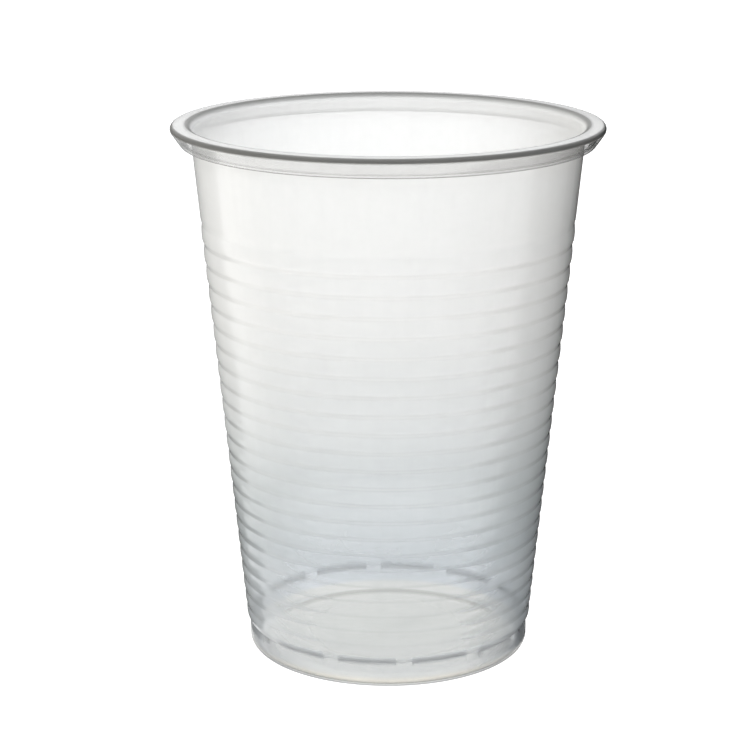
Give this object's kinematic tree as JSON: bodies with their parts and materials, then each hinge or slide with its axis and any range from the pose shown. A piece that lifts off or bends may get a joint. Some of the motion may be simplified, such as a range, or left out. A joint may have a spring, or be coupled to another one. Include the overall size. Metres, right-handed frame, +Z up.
{
  "type": "disposable plastic drinking cup",
  "caption": "Tapered thin-walled drinking cup in translucent plastic, with a stepped ribbed wall, a plain upper band, a curled rim and a broken stacking ring above the base.",
  "frame": {"origin": "centre of the base, on the plane that the cup stands on", "axes": "+Z up along the cup's axis towards the rim; the cup is round, and a gap of its stacking ring lies 6.4 degrees from +X towards +Y"},
  "size_m": [0.0702, 0.0702, 0.0885],
  "materials": {
    "cup": "translucent, glossy polypropylene sheet"
  },
  "bodies": {
    "root": {"cup": "cup"}
  },
  "joints": []
}
